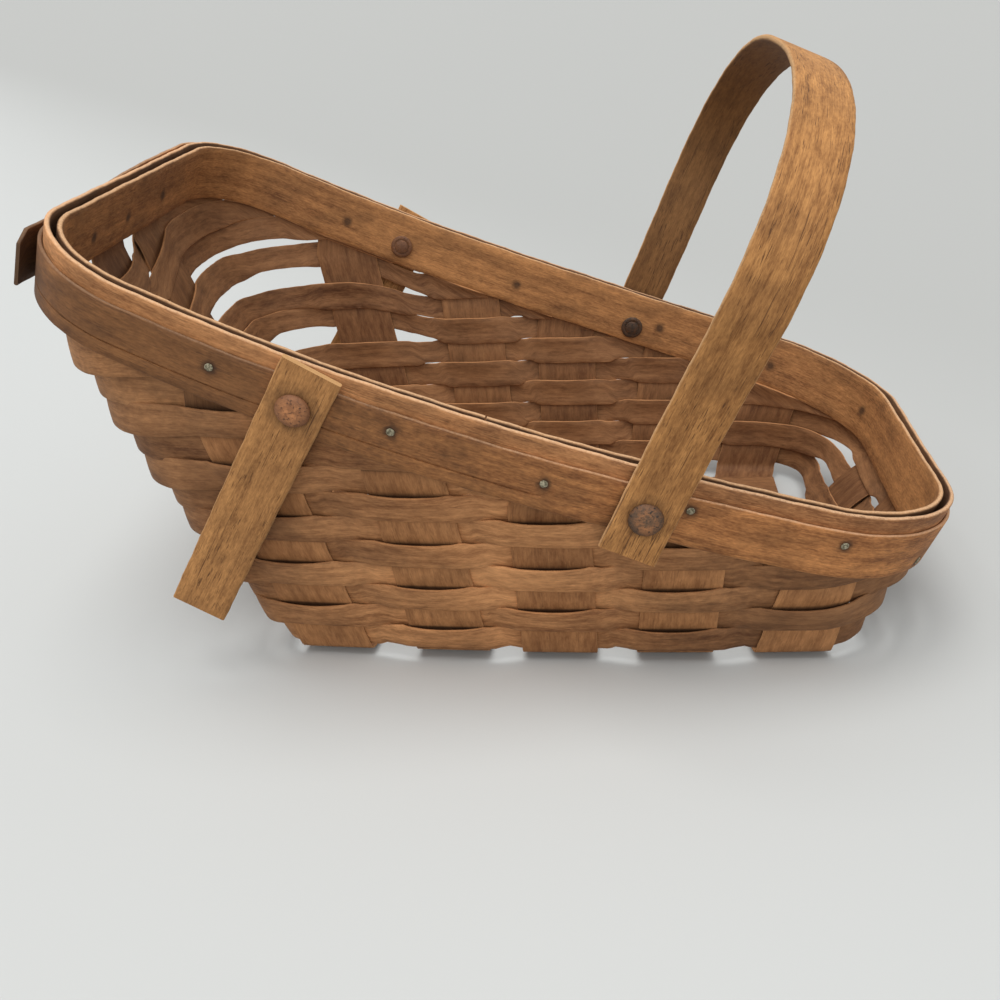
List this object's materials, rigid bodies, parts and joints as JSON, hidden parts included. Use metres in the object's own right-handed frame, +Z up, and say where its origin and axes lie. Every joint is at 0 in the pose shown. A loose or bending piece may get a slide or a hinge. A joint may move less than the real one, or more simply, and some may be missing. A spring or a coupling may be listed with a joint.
{
  "type": "basket",
  "caption": "Woven wood-splint basket with a sloping banded rim, a riveted swing hoop handle and two riveted swing legs.",
  "frame": {"origin": "middle of the basket's bounding box, on the level it rests on", "axes": "+X towards the low end, -Y the long side with the near leg, +Z up"},
  "size_m": [0.2932, 0.1984, 0.1879],
  "materials": {
    "weaver_splint": "satin stained splint",
    "upright_splint": "satin stained splint",
    "rim_band": "satin stained strip",
    "strip_wood": "satin stained strip with open pores",
    "rivet_metal": "worn dull copper"
  },
  "bodies": {
    "basket": {"cross_splint_1": "upright_splint", "cross_splint_2": "upright_splint", "cross_splint_3": "upright_splint", "cross_splint_4": "upright_splint", "cross_splint_5": "upright_splint", "long_splint_1": "upright_splint", "long_splint_2": "upright_splint", "floor_filler_splint_1": "upright_splint", "floor_filler_splint_2": "upright_splint", "weaver_row_01": "weaver_splint", "weaver_row_02": "weaver_splint", "weaver_row_03": "weaver_splint", "weaver_row_04": "weaver_splint", "weaver_row_05": "weaver_splint", "weaver_row_06": "weaver_splint", "weaver_row_07": "weaver_splint", "weaver_row_08": "weaver_splint", "weaver_row_09": "weaver_splint", "weaver_row_10": "weaver_splint", "weaver_row_11": "weaver_splint", "weaver_row_12": "weaver_splint", "inner_rim_band": "rim_band", "outer_rim_band": "rim_band", "wrap_rim_band": "rim_band", "near_leg_rivet": "rivet_metal", "far_leg_rivet": "rivet_metal", "near_handle_rivet": "rivet_metal", "far_handle_rivet": "rivet_metal", "near_leg_rivet_burr": "rivet_metal", "far_leg_rivet_burr": "rivet_metal", "near_handle_rivet_burr": "rivet_metal", "far_handle_rivet_burr": "rivet_metal", "near_handle_washer": "rivet_metal", "far_handle_washer": "rivet_metal"},
    "handle": {"swing_handle": "strip_wood"},
    "near_leg": {"near_leg": "strip_wood"},
    "far_leg": {"far_leg": "strip_wood"}
  },
  "joints": [
    {"name": "handle_swing", "type": "hinge", "parent": "basket", "child": "handle", "pos_m": [0.04212, 0, 0.0668], "axis": [0, 1, 0], "range_deg": [-78, 93]},
    {"name": "near_leg_swing", "type": "hinge", "parent": "basket", "child": "near_leg", "pos_m": [-0.05803, -0.09334, 0.10333], "axis": [-0.055, -0.9931, -0.1039], "continuous": true},
    {"name": "far_leg_swing", "type": "hinge", "parent": "basket", "child": "far_leg", "pos_m": [-0.05803, 0.09334, 0.10333], "axis": [-0.055, 0.9931, -0.1039], "continuous": true}
  ]
}
